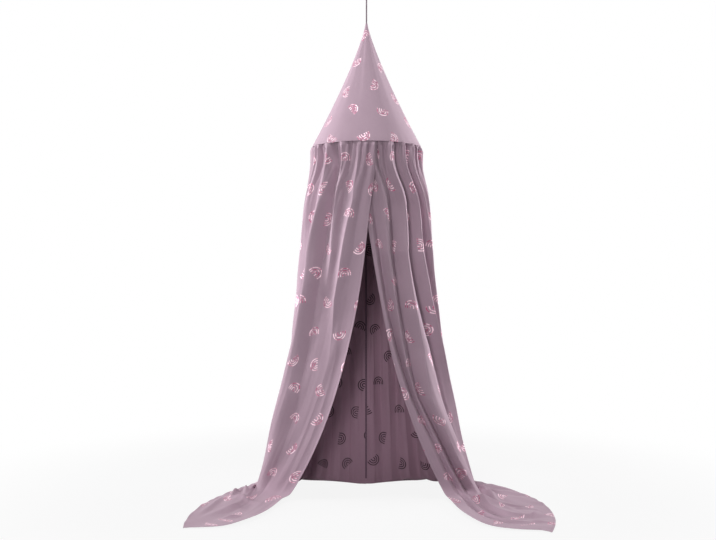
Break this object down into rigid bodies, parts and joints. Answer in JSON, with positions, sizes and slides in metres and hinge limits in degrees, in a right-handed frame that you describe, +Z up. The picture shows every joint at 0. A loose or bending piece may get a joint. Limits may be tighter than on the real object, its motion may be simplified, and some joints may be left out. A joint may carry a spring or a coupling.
{
  "type": "bed crown canopy",
  "caption": "Hanging bed canopy: a cloth cone over a hoop and two gathered curtain panels that open at the front, hung by a cord from a ceiling swivel hook.",
  "frame": {"origin": "middle of the ceiling plate's top face, which lies against the ceiling", "axes": "+Z up into the ceiling, -Y out of the front opening, +X to the right seen from the front"},
  "size_m": [1.4, 1.121, 2.1884],
  "materials": {
    "cloth": "matte",
    "tape": "matte",
    "cord": "matte",
    "steel": "polished",
    "white_plastic": "satin",
    "rod_plastic": "satin",
    "beech": "satin"
  },
  "bodies": {
    "ceiling": {"ceiling_plate": "white_plastic", "hook_retainer": "white_plastic"},
    "canopy": {"swivel_hook": "steel", "hanging_cord": "cord", "cord_crimp": "steel", "apex_washer": "beech", "stopper_knot": "cord", "cone_front": "cloth", "cone_back": "cloth", "cone_seam_tape_right": "tape", "cone_seam_tape_left": "tape", "seam_band": "cloth", "hoop_half_right": "rod_plastic", "hoop_half_left": "rod_plastic", "hoop_sleeve_back": "steel", "hoop_sleeve_front": "steel", "hoop_channel": "tape", "back_seam_tape": "tape"},
    "left_curtain": {"curtain_left_panel": "cloth"},
    "right_curtain": {"curtain_right_panel": "cloth"}
  },
  "joints": [
    {"name": "canopy_swivel", "type": "hinge", "parent": "ceiling", "child": "canopy", "pos_m": [0, 0, -0.01], "axis": [0, 0, 1], "continuous": true},
    {"name": "left_curtain_draw", "type": "hinge", "parent": "canopy", "child": "left_curtain", "pos_m": [0, 0.225, -1.4], "axis": [0, 0, 1], "range_deg": [-25, 0]},
    {"name": "right_curtain_draw", "type": "hinge", "parent": "canopy", "child": "right_curtain", "pos_m": [0, 0.225, -1.4], "axis": [0, 0, 1], "range_deg": [0, 25]}
  ]
}
